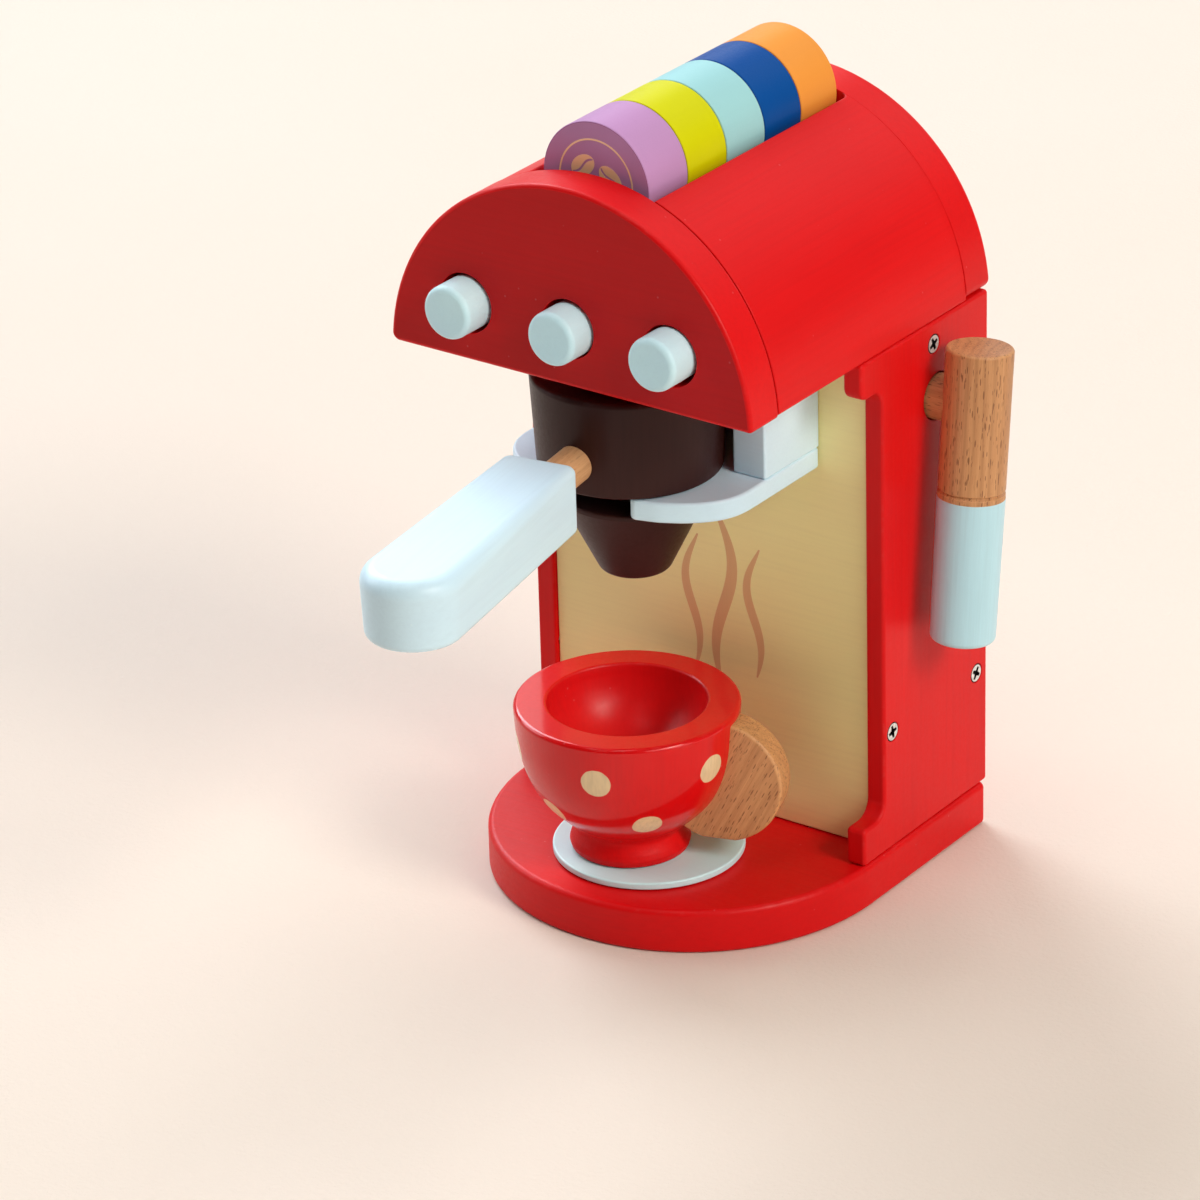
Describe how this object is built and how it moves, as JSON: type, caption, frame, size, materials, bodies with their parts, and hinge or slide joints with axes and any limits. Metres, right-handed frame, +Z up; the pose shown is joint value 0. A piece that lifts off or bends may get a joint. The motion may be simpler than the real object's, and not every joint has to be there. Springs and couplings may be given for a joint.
{
  "type": "toy coffee maker",
  "caption": "Wooden toy coffee maker with a domed head, push buttons, removable filter with paddle handle, swivelling steam wand, coloured capsules in a top slot, and a cup on a saucer disc.",
  "frame": {"origin": "on the floor, on the centre line of the base board, at the join of its straight sides and rounded front", "axes": "+Z up, -Y towards the player (front with the buttons), +X to the side with the steam wand"},
  "size_m": [0.1547, 0.2399, 0.2601],
  "materials": {
    "red_wood": "satin red paint on smooth wood",
    "ice_wood": "satin pale blue paint on smooth wood",
    "cream_panel": "matt cream-gold panel",
    "brown_wood": "satin dark brown stain",
    "beech": "bare beech, light oil",
    "birch_ply": "bare birch ply",
    "steel": "zinc plated",
    "purple_wood": "satin purple paint",
    "lime_wood": "satin lime paint",
    "aqua_wood": "satin aqua paint",
    "blue_wood": "satin dark blue paint",
    "orange_wood": "satin orange paint"
  },
  "bodies": {
    "machine": {"base_board": "red_wood", "side_panel_left": "red_wood", "side_panel_right": "red_wood", "front_panel": "cream_panel", "back_panel": "red_wood", "top_board": "birch_ply", "dome_front_plate": "red_wood", "dome_rear_plate": "red_wood", "dome_shell_left": "red_wood", "dome_shell_right": "red_wood", "dome_floor": "red_wood", "pod_tray": "birch_ply", "spring_board": "birch_ply", "bracket_plate": "ice_wood", "bracket_block_left": "ice_wood", "bracket_block_right": "ice_wood", "saucer_disc": "ice_wood", "side_screw_left_top": "steel", "side_screw_left_front": "steel", "side_screw_left_rear": "steel", "side_screw_right_top": "steel", "side_screw_right_front": "steel", "side_screw_right_rear": "steel", "base_screw_front_left": "steel", "base_screw_front_right": "steel", "base_screw_rear_left": "steel", "base_screw_rear_right": "steel", "button_spring_left": "steel", "button_spring_middle": "steel", "button_spring_right": "steel"},
    "button_left": {"button_left": "ice_wood", "button_collar_left": "birch_ply"},
    "button_middle": {"button_middle": "ice_wood", "button_collar_middle": "birch_ply"},
    "button_right": {"button_right": "ice_wood", "button_collar_right": "birch_ply"},
    "filter_carrier": {"filter_funnel": "brown_wood"},
    "filter_head": {"filter_drum": "brown_wood", "filter_dowel": "beech", "filter_handle": "ice_wood"},
    "cup": {"cup_bowl": "red_wood", "cup_handle": "beech"},
    "wand": {"wand_rod": "beech", "wand_peg": "beech", "wand_washer": "birch_ply"},
    "pod_purple": {"pod_purple": "purple_wood"},
    "pod_lime": {"pod_lime": "lime_wood"},
    "pod_aqua": {"pod_aqua": "aqua_wood"},
    "pod_blue": {"pod_blue": "blue_wood"},
    "pod_orange": {"pod_orange": "orange_wood"}
  },
  "joints": [
    {"name": "button_left_press", "type": "slide", "parent": "machine", "child": "button_left", "axis": [0, 1, 0], "range_m": [0, 0.005], "stiffness_N_per_m": 300, "springref_m": -0.004, "deforming": ["button_spring_left"]},
    {"name": "button_middle_press", "type": "slide", "parent": "machine", "child": "button_middle", "axis": [0, 1, 0], "range_m": [0, 0.005], "stiffness_N_per_m": 300, "springref_m": -0.004, "deforming": ["button_spring_middle"]},
    {"name": "button_right_press", "type": "slide", "parent": "machine", "child": "button_right", "axis": [0, 1, 0], "range_m": [0, 0.005], "stiffness_N_per_m": 300, "springref_m": -0.004, "deforming": ["button_spring_right"]},
    {"name": "filter_slide", "type": "slide", "parent": "machine", "child": "filter_carrier", "axis": [0, -1, 0], "range_m": [0, 0.085]},
    {"name": "filter_turn", "type": "hinge", "parent": "filter_carrier", "child": "filter_head", "pos_m": [-0.0004, -0.0321, 0.15], "axis": [0, 0, 1], "range_deg": [-80, 80]},
    {"name": "cup_slide", "type": "slide", "parent": "machine", "child": "cup", "axis": [0, -1, 0], "range_m": [0, 0.12]},
    {"name": "wand_swivel", "type": "hinge", "parent": "machine", "child": "wand", "pos_m": [0.065, 0.0371, 0.1578], "axis": [1, 0, 0], "continuous": true},
    {"name": "pod_purple_lift", "type": "slide", "parent": "machine", "child": "pod_purple", "axis": [0, 0, 1], "range_m": [0, 0.045]},
    {"name": "pod_lime_lift", "type": "slide", "parent": "machine", "child": "pod_lime", "axis": [0, 0, 1], "range_m": [0, 0.045]},
    {"name": "pod_aqua_lift", "type": "slide", "parent": "machine", "child": "pod_aqua", "axis": [0, 0, 1], "range_m": [0, 0.045]},
    {"name": "pod_blue_lift", "type": "slide", "parent": "machine", "child": "pod_blue", "axis": [0, 0, 1], "range_m": [0, 0.045]},
    {"name": "pod_orange_lift", "type": "slide", "parent": "machine", "child": "pod_orange", "axis": [0, 0, 1], "range_m": [0, 0.045]}
  ]
}
